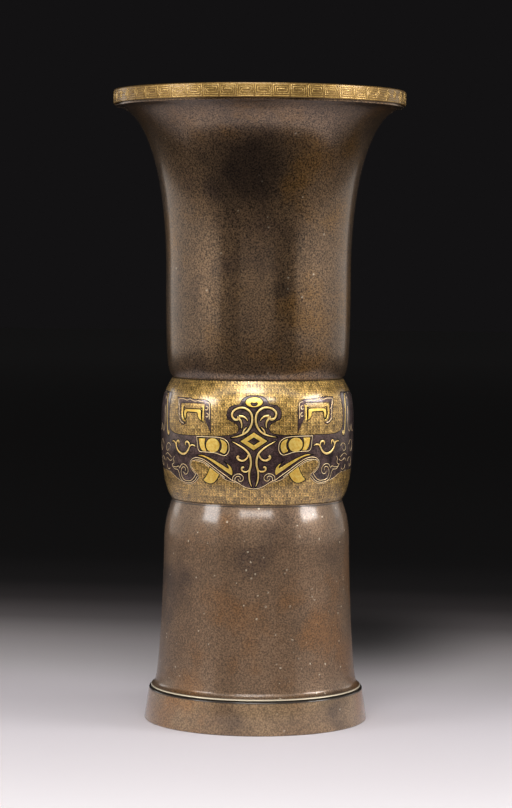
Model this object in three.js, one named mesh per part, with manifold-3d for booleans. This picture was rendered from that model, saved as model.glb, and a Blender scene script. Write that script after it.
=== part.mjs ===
// Archaistic bronze gu vase with a waist band inlaid with gold: built as five cast sections and a floor
// plate that stack on spigots, a sheet gold band round the lip, and one small gold plate or wire for each
// inlay of the two beast masks. Millimetres, +Z up, origin at the centre of the foot's underside, -Y front.
import * as THREE from "three";
import { mergeVertices } from "three/addons/utils/BufferGeometryUtils.js";
import Module from "manifold-3d";

const wasm = await Module();
wasm.setup();

// Facets round a full turn; a multiple of four, so that the quarter turns land on the same facets.
const SEGMENTS = 40;

// Driving sizes: heights of the stacked sections and the widest radii
const footRingHeight = 14.3;
const lowerBodyHeight = 82.5;
const waistHeight = 52.7;
const trumpetHeight = 124.6;
const footRadius = 48.9;
const waistRadius = 42.1;
const lipRadius = 63.7;
const wall = 3.4;
const fit = 0.3;

// Radii that follow from them
const footTopRadius = footRadius - 1.9;
const lowerBodyFootRadius = footRadius - 4.7;
const lowerBodyRadius = waistRadius - 1.4;
const trumpetRadius = waistRadius - 1.7;
const jointRadius = waistRadius - 4.7;

// Spigots and the sockets they drop into
const spigotLength = 8;
const spigotRadius = jointRadius - 4.4;
const spigotBore = spigotRadius - 3.2;
const tenonLength = 11;
const tenonRadius = lowerBodyFootRadius - 2.6;
const tenonBore = tenonRadius - 3;
const floorThickness = 2.5;
const floorLip = 1.8;

// Lip: a vertical flange with a rebate that holds the gold band
const lipHeight = 7.2;
const lipLedge = 0.7;
const lipBandThickness = 1.1;
const lipLand = 3.3;
const lipEdgeRound = 0.5;

// Foot ring edges
const footEdgeRound = 0.8;
const footChamfer = 0.6;

// The lower body ends in a thin flange that lies on the foot ring.
const flangeRadius = footTopRadius - 0.9;
const flangeEdge = 0.7;

// Seats of the waist band's inlays
const seatDepth = 1.1;
const seatSide = 0.15;

// The ornament is drawn on squared paper: the band's height is 53 squares.
const square = waistHeight / 53;

// Places up the stack
const lowerBodyBase = footRingHeight + fit;
const waistBase = lowerBodyBase + lowerBodyHeight + fit;
const trumpetBase = waistBase + waistHeight + fit;

const bronze = new THREE.MeshStandardMaterial({ color: 0x5a4a3c, roughness: 0.45, metalness: 0.85 });
const gildedBronze = new THREE.MeshStandardMaterial({ color: 0x9c7c48, roughness: 0.4, metalness: 0.9 });
const gold = new THREE.MeshStandardMaterial({ color: 0xd9b155, roughness: 0.3, metalness: 1 });

// Solids and geometry

function toSolid(geometry) {
  const bare = geometry.index ? geometry.toNonIndexed() : geometry.clone();
  bare.deleteAttribute("normal");
  bare.deleteAttribute("uv");
  const merged = mergeVertices(bare, 1e-4);
  return new wasm.Manifold(
    new wasm.Mesh({
      numProp: 3,
      vertProperties: merged.attributes.position.array,
      triVerts: new Uint32Array(merged.index.array),
    }),
  );
}

function toGeometry(solid) {
  const mesh = solid.getMesh();
  const geometry = new THREE.BufferGeometry();
  geometry.setAttribute("position", new THREE.BufferAttribute(mesh.vertProperties, mesh.numProp));
  geometry.setIndex(new THREE.BufferAttribute(mesh.triVerts, 1));
  geometry.computeVertexNormals();
  return geometry;
}

function named(name, geometry, material) {
  const mesh = new THREE.Mesh(geometry, material);
  mesh.name = name;
  return mesh;
}

// A profile of [radius, height] pairs turned about +Z: up the outside and down the inside.
function revolve(profile) {
  const points = profile.map(([r, z]) => new THREE.Vector2(r, z));
  return new THREE.LatheGeometry(points, SEGMENTS).rotateX(Math.PI / 2);
}

function bezier(steps, ...corners) {
  const [a, b, c, d] = corners.map(([r, z]) => new THREE.Vector2(r, z));
  return new THREE.CubicBezierCurve(a, b, c, d).getPoints(steps).map((p) => [p.x, p.y]);
}

function closed(profile) {
  return [...profile, profile[0]];
}

// Stacked sections

function makeFootRing() {
  const bore = tenonRadius + fit;
  const profile = [
    [footRadius - footChamfer, 0],
    [footRadius, footChamfer],
    ...bezier(
      2,
      [footTopRadius, footRingHeight - footEdgeRound],
      [footTopRadius, footRingHeight - footEdgeRound / 2],
      [footTopRadius - footEdgeRound / 2, footRingHeight],
      [footTopRadius - footEdgeRound, footRingHeight],
    ),
    [bore, footRingHeight],
    [bore, 0],
  ];
  return named("foot_ring", revolve(closed(profile)), bronze);
}

// The spreading body: a tenon below drops inside the foot ring, a spigot above enters the waist band.
function makeLowerBody() {
  const shoulder = lowerBodyHeight * 0.78;
  const outer = [
    [tenonRadius, -tenonLength],
    [tenonRadius, 0],
    [flangeRadius, 0],
    ...bezier(
      2,
      [flangeRadius - flangeEdge / 2, flangeEdge],
      [flangeRadius - 2 * flangeEdge, 2 * flangeEdge],
      [lowerBodyFootRadius + 0.1, 3 * flangeEdge],
      [lowerBodyFootRadius - 0.1, 4 * flangeEdge],
    ),
    ...bezier(
      3,
      [lowerBodyFootRadius - 0.2, 5 * flangeEdge],
      [lowerBodyFootRadius - 1.5, lowerBodyHeight * 0.1],
      [lowerBodyRadius + 0.1, lowerBodyHeight * 0.53],
      [lowerBodyRadius, shoulder],
    ),
    ...bezier(
      4,
      [lowerBodyRadius, shoulder],
      [lowerBodyRadius - 0.2, lowerBodyHeight * 0.915],
      [jointRadius + 0.8, lowerBodyHeight - 4],
      [jointRadius, lowerBodyHeight],
    ).slice(1),
    [spigotRadius, lowerBodyHeight],
    [spigotRadius, lowerBodyHeight + spigotLength],
  ];
  const inner = [
    [spigotBore, lowerBodyHeight + spigotLength],
    ...bezier(
      3,
      [spigotBore, lowerBodyHeight - wall],
      [spigotBore + 2, lowerBodyHeight - 2 * wall],
      [lowerBodyRadius - wall, lowerBodyHeight - 2.5 * wall],
      [lowerBodyRadius - wall, lowerBodyHeight - 6 * wall],
    ),
    [tenonBore, 0],
    [tenonBore, -tenonLength],
  ];
  const mesh = named("lower_body", revolve(closed([...outer, ...inner])), bronze);
  mesh.position.z = lowerBodyBase;
  return mesh;
}

// A plain disc trapped between the lower body's spigot and a lip inside the waist band.
function makeVesselFloor() {
  const profile = [
    [0, 0],
    [spigotRadius, 0],
    [spigotRadius, floorThickness],
    [0, floorThickness],
  ];
  const mesh = named("vessel_floor", revolve(profile), bronze);
  mesh.position.z = lowerBodyBase + lowerBodyHeight + spigotLength + fit;
  return mesh;
}

function makeTrumpet() {
  const flareFoot = trumpetHeight * 0.366;
  const ledgeTop = trumpetHeight - lipHeight + lipLedge;
  const rebate = lipRadius - lipBandThickness - fit;
  const outer = [
    [spigotRadius, -spigotLength],
    [spigotRadius, 0],
    ...bezier(
      4,
      [jointRadius, 0],
      [jointRadius + 2.4, 2],
      [trumpetRadius - 0.1, trumpetHeight * 0.077],
      [trumpetRadius, trumpetHeight * 0.289],
    ),
    ...bezier(
      9,
      [trumpetRadius, flareFoot],
      [trumpetRadius, trumpetHeight * 0.686],
      [lipRadius - 14.9, trumpetHeight - lipHeight - 1.4],
      [lipRadius - 1.2, trumpetHeight - lipHeight],
    ),
    [lipRadius - 0.9, ledgeTop],
    [rebate, ledgeTop],
    [rebate, trumpetHeight - lipEdgeRound],
    [rebate - lipEdgeRound, trumpetHeight],
  ];
  const inner = [
    ...bezier(
      7,
      [rebate - lipEdgeRound - lipLand, trumpetHeight],
      [trumpetRadius + 3.7, trumpetHeight * 0.88],
      [trumpetRadius - wall, trumpetHeight * 0.69],
      [trumpetRadius - wall, flareFoot],
    ),
    [trumpetRadius - wall, 5 * wall],
    [spigotBore, 2 * wall],
    [spigotBore, -spigotLength],
  ];
  const mesh = named("trumpet", revolve(closed([...outer, ...inner])), bronze);
  mesh.position.z = trumpetBase;
  return mesh;
}

// The sheet gold band slips down over the lip's rebate and stands on its ledge.
function makeLipBand() {
  const height = lipHeight - lipLedge - fit;
  const profile = [
    [lipRadius, 0],
    [lipRadius, height - lipEdgeRound],
    [lipRadius - lipEdgeRound, height],
    [lipRadius - lipBandThickness, height],
    [lipRadius - lipBandThickness, 0],
  ];
  const mesh = named("lip_band", revolve(closed(profile)), gold);
  mesh.position.z = trumpetBase + trumpetHeight - height;
  return mesh;
}

// The waist band's own surface, as [radius, height] pairs a given depth under its face.
function waistFace(depth) {
  const lower = bezier(
    3,
    [jointRadius, 0],
    [jointRadius + 3.1, 4 * square],
    [waistRadius - 0.9, 11.6 * square],
    [waistRadius - 0.1, 21.3 * square],
  );
  const upper = bezier(
    3,
    [waistRadius, 35.1 * square],
    [waistRadius, 46 * square],
    [jointRadius + 2.4, 48.6 * square],
    [jointRadius, waistHeight],
  );
  return [...lower, ...upper].map(([r, z]) => [r - depth, z]);
}

// Everything inside the waist band's face less a depth, as one solid about the axis.
function waistCore(depth) {
  return toSolid(revolve([[0, 0], ...waistFace(depth), [0, waistHeight]]));
}

function makeWaistBlank() {
  const socket = spigotRadius + fit;
  const floorTop = spigotLength + floorThickness + fit;
  const bore = waistRadius - 1.6 * wall;
  const inner = [
    [socket, waistHeight],
    [socket, waistHeight - spigotLength - fit],
    [bore, waistHeight - spigotLength - wall],
    [bore, floorTop + 2 * wall],
    [socket - floorLip, floorTop + wall],
    [socket - floorLip, floorTop],
    [socket, floorTop],
    [socket, 0],
  ];
  return toSolid(revolve(closed([...waistFace(0), ...inner])));
}

// Ornament: outlines on the squared paper, [across, up] from the mask's middle and the band's foot

function counterClockwise(outline) {
  const points = outline.map(([x, y]) => new THREE.Vector2(x, y));
  return THREE.ShapeUtils.area(points) > 0 ? outline : [...outline].reverse();
}

// An outline grown outwards by a distance, with mitred corners. A hole is grown by its negative.
function grown(outline, distance) {
  const count = outline.length;
  const normals = outline.map(([x, y], i) => {
    const [nextX, nextY] = outline[(i + 1) % count];
    return new THREE.Vector2(nextY - y, x - nextX).normalize();
  });
  return outline.map(([x, y], i) => {
    const before = normals[(i + count - 1) % count];
    const after = normals[i];
    const reach = distance / Math.max(0.4, 1 + before.dot(after));
    return [x + (before.x + after.x) * reach, y + (before.y + after.y) * reach];
  });
}

// A straight prism through the waist's wall, square to it at the place given across the squared paper.
function prismThroughWall(outline, hole, middle) {
  const flattened = (ring) =>
    ring.map(([across, up]) => {
      const turn = ((across - middle) * square) / waistRadius;
      return new THREE.Vector2(waistRadius * Math.sin(turn), up * square);
    });
  const shape = new THREE.Shape(flattened(outline));
  if (hole) shape.holes.push(new THREE.Path(flattened(hole)));
  const geometry = new THREE.ExtrudeGeometry(shape, { depth: waistRadius * 0.7, bevelEnabled: false });
  geometry.translate(0, 0, waistRadius * 0.6);
  geometry.rotateX(Math.PI / 2);
  geometry.rotateZ((middle * square) / waistRadius);
  return toSolid(geometry);
}

// The outline of a stroke along a smooth line, its half width running evenly through the given values.
function stroke(line, halfWidths) {
  const curve = new THREE.SplineCurve(line.map(([x, y]) => new THREE.Vector2(x, y)));
  const left = [];
  const right = [];
  line.forEach(([x, y], i) => {
    const share = i / (line.length - 1);
    const place = share * (halfWidths.length - 1);
    const index = Math.min(Math.floor(place), halfWidths.length - 2);
    const half = THREE.MathUtils.lerp(halfWidths[index], halfWidths[index + 1], place - index);
    const along = curve.getTangent(share);
    left.push([x - along.y * half, y + along.x * half]);
    right.unshift([x + along.y * half, y - along.x * half]);
  });
  return [...left, ...right];
}

function ellipse([x, y], halfWidth, halfHeight, count) {
  return Array.from({ length: count }, (_, i) => {
    const turn = (2 * Math.PI * i) / count;
    return [x + halfWidth * Math.cos(turn), y + halfHeight * Math.sin(turn)];
  });
}

function arc([x, y], radius, fromDegrees, toDegrees, steps) {
  return Array.from({ length: steps + 1 }, (_, i) => {
    const turn = THREE.MathUtils.degToRad(fromDegrees + ((toDegrees - fromDegrees) * i) / steps);
    return [x + radius * Math.cos(turn), y + radius * Math.sin(turn)];
  });
}

function diamond([x, y], halfWidth, halfHeight) {
  return [
    [x + halfWidth, y],
    [x, y + halfHeight],
    [x - halfWidth, y],
    [x, y - halfHeight],
  ];
}

const pupil = [18.1, 26.1];
const pupilRadius = 3.1;
const socketRadius = 3.9;

// Pieces on the mask's middle line
const middleInlays = {
  crown_ring: [{ outline: ellipse([0, 44.2], 3.55, 2.15, 12), hole: ellipse([0, 43.6], 1.4, 0.9, 6) }],
  brow_diamond: [{ outline: diamond([0, 27.7], 5.6, 3.75), hole: diamond([0, 27.7], 2.6, 1.8) }],
};

// Pieces on the mask's right half; the left half mirrors them.
const sideInlays = {
  crest_scroll: [
    {
      outline: stroke(
        [
          [10, 29],
          [4.4, 30.7],
          [1.2, 34.6],
          [1.4, 39.5],
          [5, 42.3],
          [9, 40.6],
          [7.8, 36.8],
        ],
        [0.12, 0.5, 0.5, 0.5, 0.75],
      ),
    },
  ],
  nose_scroll: [
    {
      outline: stroke(
        [
          [9.6, 28.2],
          [3.9, 24.8],
          [1.2, 19.2],
          [1.9, 13],
          [0.7, 8.4],
        ],
        [0.12, 0.5, 0.5, 0.5, 0.15],
      ),
    },
    {
      outline: stroke(
        [
          [2.2, 22],
          [4.6, 19.6],
          [6.6, 21.4],
        ],
        [0.3, 0.45, 0.7],
      ),
    },
  ],
  pupil: [{ outline: ellipse(pupil, pupilRadius, pupilRadius, 10) }],
  eye_corner_outer: [{ outline: [[25.7, 29], ...arc(pupil, socketRadius, 48, -50, 3), [24.4, 22.9]] }],
  eye_corner_inner: [{ outline: [...arc(pupil, socketRadius, 222, 145, 3), [11.9, 26.2], [11.7, 24.4], [12.7, 22.5]] }],
  jaw_bar: [
    {
      outline: [
        [25.3, 21.8],
        [17, 19.4],
        [9.8, 16.4],
        [9.4, 13.6],
        [17.4, 18.1],
      ],
    },
  ],
  fang: [
    {
      outline: [
        [19.1, 16.1],
        [15.2, 13.8],
        [16.9, 10.4],
        [22.5, 9.9],
        [20.5, 13.3],
      ],
    },
  ],
  ear_scroll: [
    {
      outline: stroke(
        [
          [43, 26.9],
          [39.4, 24.2],
          [35.2, 21.5],
          [31, 23.8],
          [27.1, 25.4],
        ],
        [0.15, 0.5, 0.5, 0.5, 0.15],
      ),
    },
  ],
  horn: [
    {
      outline: [
        [23.4, 35],
        [24.7, 36.8],
        [25.4, 39.8],
        [32.6, 39.8],
        [33, 36.6],
        [34.2, 36.9],
        [34.2, 41.6],
        [23.4, 41.6],
      ],
    },
  ],
  flank_hook: [
    {
      outline: stroke(
        [
          [50.8, 46.6],
          [48.9, 44.6],
          [48.9, 32.4],
          [46.8, 31.2],
        ],
        [0.3, 0.5, 0.5, 0.35],
      ),
    },
  ],
};

function mirrored(outline) {
  return outline.map(([across, up]) => [-across, up]).reverse();
}

function mirroredPiece(parts) {
  return parts.map(({ outline, hole }) => ({ outline: mirrored(outline), hole: hole && mirrored(hole) }));
}

// All the inlays of one mask by name: the middle ones, then each side piece right and left.
function maskInlays() {
  const inlays = new Map(Object.entries(middleInlays));
  for (const [name, parts] of Object.entries(sideInlays)) {
    inlays.set(`${name}_right`, parts);
    inlays.set(`${name}_left`, mirroredPiece(parts));
  }
  return inlays;
}

// The parts of one inlay as a single cutter, grown on every side by a distance.
function inlayPrism(parts, distance = 0) {
  const spread = parts.flatMap(({ outline }) => outline.map(([across]) => across));
  const middle = (Math.min(...spread) + Math.max(...spread)) / 2;
  const prisms = parts.map(({ outline, hole }) =>
    prismThroughWall(
      grown(counterClockwise(outline), distance / square),
      hole && grown(counterClockwise(hole), -distance / square),
      middle,
    ),
  );
  return prisms.reduce((all, prism) => all.add(prism));
}

function makeInlay(name, parts) {
  const plate = inlayPrism(parts).intersect(waistCore(0)).subtract(waistCore(seatDepth - fit));
  return named(name, toGeometry(plate), gold);
}

function makeMaskInlays(side) {
  const group = new THREE.Group();
  for (const [name, parts] of maskInlays()) group.add(makeInlay(`${side}_${name}`, parts));
  return group;
}

// The waist band with one set of seats for each mask.
function makeWaistBand() {
  const seats = [...maskInlays().values()].map((parts) => inlayPrism(parts, seatSide));
  const cutter = seats.reduce((all, seat) => all.add(seat)).subtract(waistCore(seatDepth));
  const solid = makeWaistBlank().subtract(cutter).subtract(cutter.rotate([0, 0, 180]));
  return named("waist_band", toGeometry(solid), gildedBronze);
}

function makeWaist() {
  const waist = new THREE.Group();
  const back = makeMaskInlays("back");
  back.rotation.z = Math.PI;
  waist.add(makeWaistBand(), makeMaskInlays("front"), back);
  waist.position.z = waistBase;
  return waist;
}

const vase = new THREE.Group();
vase.add(makeFootRing(), makeLowerBody(), makeVesselFloor(), makeWaist(), makeTrumpet(), makeLipBand());

export default vase;
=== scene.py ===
# %% [markdown]
# # A bronze gu vase with a gold-inlaid waist
# A gu is the trumpet-mouthed beaker of Chinese ritual bronze. This one belongs to the later, scholarly
# revival: smooth brown bronze above and below, a gold key fret round the lip, and a bulging waist on which
# a beast mask is drawn in inlaid gold. It is built as the caster and the inlayer built it: sections that
# stack on spigots, then gold laid into the waist piece by piece.
#
# The vase is worked out in millimetres and turned to metres only when a mesh gets its points. The camera,
# the lamps and the floor are in metres from the start.

# %% Load the fixed frame
import math

import bpy
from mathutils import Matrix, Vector


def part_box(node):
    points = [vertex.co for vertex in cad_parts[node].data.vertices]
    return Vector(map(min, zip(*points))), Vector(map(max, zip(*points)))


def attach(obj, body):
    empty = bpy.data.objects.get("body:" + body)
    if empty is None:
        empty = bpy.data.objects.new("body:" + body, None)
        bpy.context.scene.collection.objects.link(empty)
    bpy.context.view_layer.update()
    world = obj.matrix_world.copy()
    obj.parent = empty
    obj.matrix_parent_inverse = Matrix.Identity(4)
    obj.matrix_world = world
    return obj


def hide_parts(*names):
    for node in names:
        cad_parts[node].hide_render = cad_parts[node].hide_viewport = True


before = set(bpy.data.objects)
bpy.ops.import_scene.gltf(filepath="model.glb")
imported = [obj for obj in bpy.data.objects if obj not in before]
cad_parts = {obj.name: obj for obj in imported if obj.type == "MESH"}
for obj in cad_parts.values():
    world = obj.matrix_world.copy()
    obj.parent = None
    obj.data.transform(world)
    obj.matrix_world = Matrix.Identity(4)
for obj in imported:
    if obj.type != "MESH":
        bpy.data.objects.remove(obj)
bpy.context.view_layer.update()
MM = 0.001

# %% [markdown]
# The stacked sections are already packed as a frame, so their sizes are read from it. Each section below
# starts where the frame says that it starts, and it is as wide as the frame says. Radii that the frame
# does not tell, such as those of the joints, lie a fixed step inside the ones that it does.

# %% Sizes read from the frame, in millimetres


def extent(node):
    """The lowest and highest corner of a section in millimetres."""
    low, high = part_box(node)
    return low / MM, high / MM


foot_high = extent("foot_ring")[1]
body_high = extent("lower_body")[1]
waist_low, waist_high = extent("waist_band")
trumpet_low, trumpet_high = extent("trumpet")
lip_low, lip_high = extent("lip_band")

# A section's box does not show these: clearance, wall, joints, floor plate, gold sheet and lip flange.
FIT = 0.3
WALL = 3.4
SPIGOT = 8
TENON = 11
FLOOR_PLATE = 2.5
LIP_GOLD = 1.1
LIP_FLANGE = 7.2
LIP_LEDGE = 0.7
FOOT_RADIUS = foot_high.x
FOOT_HEIGHT = foot_high.z
FLANGE_RADIUS = body_high.x
BODY_FOOT_RADIUS = FOOT_RADIUS - 4.7
BODY_BASE = FOOT_HEIGHT + FIT
BODY_HEIGHT = body_high.z - SPIGOT - BODY_BASE
WAIST_RADIUS = waist_high.x
WAIST_BASE = waist_low.z
WAIST_HEIGHT = waist_high.z - waist_low.z
TRUMPET_BASE = trumpet_low.z + SPIGOT
TRUMPET_HEIGHT = trumpet_high.z - TRUMPET_BASE
LIP_RADIUS = lip_high.x
LIP_BASE = lip_low.z
JOINT_RADIUS = WAIST_RADIUS - 4.7
TRUMPET_RADIUS = WAIST_RADIUS - 1.7
BODY_RADIUS = WAIST_RADIUS - 1.4
SPIGOT_RADIUS = JOINT_RADIUS - 4.4
SPIGOT_BORE = SPIGOT_RADIUS - 3.2
TENON_RADIUS = BODY_FOOT_RADIUS - 2.6
TENON_BORE = TENON_RADIUS - 3
print(f"waist {WAIST_HEIGHT:.1f} mm high, {2 * WAIST_RADIUS:.1f} mm across; trumpet {TRUMPET_HEIGHT:.1f} mm")

# %% [markdown]
# ## The camera
# The mouth shows as a thin ellipse seen from below and the foot as a wider one seen from above, so the
# camera stood level with the trumpet, a little below its middle. The narrow taper between those ellipses
# puts it more than a metre away, with a long lens. The mask's middle stands a little left of the axis, so
# the camera stood two degrees to the right of it, and it was not quite upright.

# %% The camera
CAMERA_DISTANCE = 1.161
CAMERA_HEIGHT = 0.204
CAMERA_TURN = math.radians(2)
CAMERA_ROLL = math.radians(0.42)
LENS_MM = 118

bpy.ops.object.select_all(action="DESELECT")
bpy.ops.object.camera_add(
    location=(
        CAMERA_DISTANCE * math.sin(CAMERA_TURN),
        -CAMERA_DISTANCE * math.cos(CAMERA_TURN),
        CAMERA_HEIGHT,
    )
)
camera = bpy.context.object
camera.name = "camera"
camera.data.lens = LENS_MM
camera.data.sensor_width = 36
look_at = Vector((-0.0007, 0, 0.1384))
camera.rotation_euler = (look_at - camera.location).to_track_quat("-Z", "Y").to_euler()
camera.rotation_euler.rotate_axis("Z", CAMERA_ROLL)
bpy.context.scene.camera = camera
print(f"camera {CAMERA_DISTANCE:.2f} m from the axis, {CAMERA_HEIGHT / MM:.0f} mm above the floor")

# %% [markdown]
# ## Colours and nodes
# Colours are written as paint charts give them and turned to the linear values that shaders work in. One
# helper adds a node to a material with its settings and links, so that a finish reads as a short list.

# %% Colour and node helpers


def srgb(hex_colour):
    """A colour written as in a paint chart, as linear red, green, blue and alpha."""
    channels = [int(hex_colour[i : i + 2], 16) / 255 for i in (1, 3, 5)]
    linear = [c / 12.92 if c <= 0.04045 else ((c + 0.055) / 1.055) ** 2.4 for c in channels]
    return (*linear, 1)


def node(tree, kind, inputs=None, **settings):
    """Adds a node; each input is given a value, or the socket or node (its first output) to take it from."""
    made = tree.nodes.new(kind)
    for name, value in settings.items():
        setattr(made, name, value)
    for socket, value in (inputs or {}).items():
        if isinstance(value, bpy.types.Node):
            value = value.outputs[0]
        if isinstance(value, bpy.types.NodeSocket):
            tree.links.new(value, made.inputs[socket])
        else:
            made.inputs[socket].default_value = value
    return made


def pattern_scale(size_mm):
    """The texture scale at which one feature of a pattern measures a size in millimetres."""
    return 1 / (size_mm * MM)


# %% [markdown]
# ## The studio
# Polished bronze shows what stands round it, so the lights are laid out for their reflections. The bright
# spots on the shoulders say where the soft boxes stood: one at each side a little above eye level, and a
# wide one high in front, with a strip light under it and a dim ceiling panel over it. Two long dim walls
# beside the vase draw its flanks and end before they reach behind it, which leaves a dark rim at the
# outline, and two faint strips stand further back. A weak card near the camera keeps the front from going
# black.

# %% Lamps


def soft_box(name, azimuth, elevation, distance, size, glow, colour="#FFFFFF"):
    """A rectangular lamp round the vase; glow is how bright its face looks, with 1 as white paper."""
    turn = math.radians(azimuth)
    rise = math.radians(elevation)
    middle = Vector((0, 0, 0.15))
    away = Vector((math.sin(turn) * math.cos(rise), -math.cos(turn) * math.cos(rise), math.sin(rise)))
    bpy.ops.object.light_add(type="AREA", location=middle + distance * away)
    lamp = bpy.context.object
    lamp.name = name
    lamp.data.shape = "RECTANGLE"
    lamp.data.size, lamp.data.size_y = size
    lamp.data.energy = glow * math.pi * size[0] * size[1]
    lamp.data.color = srgb(colour)[:3]
    lamp.rotation_euler = (-away).to_track_quat("-Z", "Y").to_euler()
    print(f"{name}: {lamp.data.energy:.1f} W")


soft_box("left soft box", -61, 19, 1.0, (0.36, 0.2), 12)
soft_box("right soft box", 76, 21, 1.0, (0.42, 0.24), 14)
soft_box("high soft box", -7, 48, 1.0, (0.42, 0.2), 10)
soft_box("ceiling panel", 0, 52, 1.0, (2.2, 0.32), 1.6)
soft_box("strip light", 1, 29, 1.0, (0.72, 0.12), 13)
soft_box("left flank strip", -130, 9, 1.4, (0.45, 0.24), 1.2)
soft_box("right flank strip", 130, 9, 1.4, (0.35, 0.24), 0.8)
soft_box("left wall", -92, 5, 1.4, (2.9, 0.76), 0.72, "#FFF4E8")
soft_box("right wall", 96, 5, 1.4, (3.0, 0.76), 0.64, "#FFF4E8")
soft_box("front card", 0, 1, 2.2, (1.7, 0.42), 0.5, "#FFE6CC")

# %% [markdown]
# The room round the lamps is dark. The camera and every reflection see it nearly black, and only a weak
# grey light comes from it, as the pale floor and walls of a studio would send back. The Light Path node
# tells the two apart.

# %% Dark surroundings
ROOM_COLOUR = "#131213"
FILL_COLOUR = "#B4B2B0"
FILL_STRENGTH = 0.5

world = bpy.data.worlds.new("dark studio")
bpy.context.scene.world = world
world.use_nodes = True
sky = world.node_tree
sky.nodes.clear()
ray = node(sky, "ShaderNodeLightPath")
seen = node(
    sky,
    "ShaderNodeMath",
    {0: ray.outputs["Is Camera Ray"], 1: ray.outputs["Is Glossy Ray"]},
    operation="MAXIMUM",
)
seen = node(sky, "ShaderNodeMath", {0: seen, 1: ray.outputs["Is Transmission Ray"]}, operation="MAXIMUM")
fill_light = node(
    sky, "ShaderNodeBackground", {"Color": srgb(FILL_COLOUR), "Strength": FILL_STRENGTH}
)
backdrop = node(sky, "ShaderNodeBackground", {"Color": srgb(ROOM_COLOUR), "Strength": 1})
both = node(sky, "ShaderNodeMixShader", {0: seen, 1: fill_light, 2: backdrop})
node(sky, "ShaderNodeOutputWorld", {"Surface": both})
bpy.context.scene.view_settings.view_transform = "Standard"
print(f"{world.name}: {ROOM_COLOUR} seen, {FILL_COLOUR} at {FILL_STRENGTH} as light")

# %% [markdown]
# The floor is one wide sheet of pale paper. The light lies across it in a band. It ends a quarter of a
# metre in front of the vase, which shows as the dark patch in the flare of the trumpet, and it dies away
# behind the vase, where a soft shadow lies to the right. Far off and at the sides the paper fades into the
# dark room. Band, shadow and fade are all painted light on the paper, so that no extra lamp is needed.

# %% Floor
# Metres behind the vase's axis, with the painted light of the band there.
PAINTED_LIGHT_BAND = (
    (-0.6, "#0A0A0A"),
    (-0.32, "#121112"),
    (-0.275, "#3A3637"),
    (-0.235, "#A09A9D"),
    (-0.205, "#E2DDE0"),
    (-0.13, "#DAD4D8"),
    (-0.04, "#D2CCD1"),
    (0.04, "#C5BFC4"),
    (0.15, "#A09B9D"),
    (0.23, "#837E7F"),
    (0.3, "#575253"),
    (0.38, "#322E2F"),
    (0.46, "#1C1A1B"),
    (0.6, ROOM_COLOUR),
    (1.2, ROOM_COLOUR),
)
BAND_START = PAINTED_LIGHT_BAND[0][0]
BAND_LENGTH = 1.8
SHADOW_MIDDLE = (0.042, 0.26, 0)
SHADOW_SQUEEZE = (12.5, 5.6, 0)
SHADOW_COLOUR = "#0C0B0C"
SIDE_PAINTED_SHADE = "#171617"
FAR_PAINTED_LIGHT = "#343334"

bpy.ops.object.select_all(action="DESELECT")
bpy.ops.mesh.primitive_plane_add(size=12)
floor = bpy.context.object
floor.name = "floor"

paper = bpy.data.materials.new("pale paper with painted light")
paper.use_nodes = True
tree = paper.node_tree
place = node(tree, "ShaderNodeTexCoord").outputs["Object"]
split = node(tree, "ShaderNodeSeparateXYZ", {0: place})
skew = node(
    tree,
    "ShaderNodeMapRange",
    {"Value": split.outputs["Y"], "From Min": -0.2, "From Max": 0, "To Max": 0.12},
)
behind = node(
    tree, "ShaderNodeMath", {0: split.outputs["X"], 1: skew, 2: split.outputs["Y"]}, operation="MULTIPLY_ADD"
)
sideways = node(tree, "ShaderNodeMath", {0: split.outputs["X"]}, operation="ABSOLUTE")
rounding = node(
    tree,
    "ShaderNodeMapRange",
    {"Value": sideways, "From Min": 0.08, "From Max": 1.08, "To Max": 0.35},
)
front = node(tree, "ShaderNodeMapRange", {"Value": split.outputs["Y"], "From Min": 0, "From Max": -0.1})
rounding = node(tree, "ShaderNodeMath", {0: rounding, 1: front}, operation="MULTIPLY")
behind = node(tree, "ShaderNodeMath", {0: behind, 1: rounding}, operation="SUBTRACT")
share = node(
    tree,
    "ShaderNodeMapRange",
    {"Value": behind, "From Min": BAND_START, "From Max": BAND_START + BAND_LENGTH},
)
fall_off = node(tree, "ShaderNodeValToRGB", {0: share})
band = fall_off.color_ramp
for distance, colour in PAINTED_LIGHT_BAND[1:-1]:
    band.elements.new((distance - BAND_START) / BAND_LENGTH)
for element, (distance, colour) in zip(band.elements, PAINTED_LIGHT_BAND):
    element.color = srgb(colour)
shade_place = node(tree, "ShaderNodeVectorMath", {0: place, 1: SHADOW_MIDDLE}, operation="SUBTRACT")
shade_place = node(
    tree, "ShaderNodeVectorMath", {0: shade_place, 1: SHADOW_SQUEEZE}, operation="MULTIPLY"
)
shade_place = node(tree, "ShaderNodeVectorMath", {0: shade_place}, operation="LENGTH")
shadow = node(
    tree,
    "ShaderNodeMapRange",
    {"Value": shade_place.outputs["Value"], "From Min": 0.1, "From Max": 1.1, "To Min": 0.82, "To Max": 0},
    interpolation_type="SMOOTHSTEP",
)
sheet = node(
    tree,
    "ShaderNodeMix",
    {0: shadow, 6: fall_off.outputs["Color"], 7: srgb(SHADOW_COLOUR)},
    data_type="RGBA",
)
# Painted shade: towards the sides the paper darkens.
beyond = node(tree, "ShaderNodeMapRange", {"Value": sideways, "From Min": 0.3, "From Max": 0.6})
sheet = node(
    tree, "ShaderNodeMix", {0: beyond, 6: sheet.outputs[2], 7: srgb(SIDE_PAINTED_SHADE)}, data_type="RGBA"
)
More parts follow.
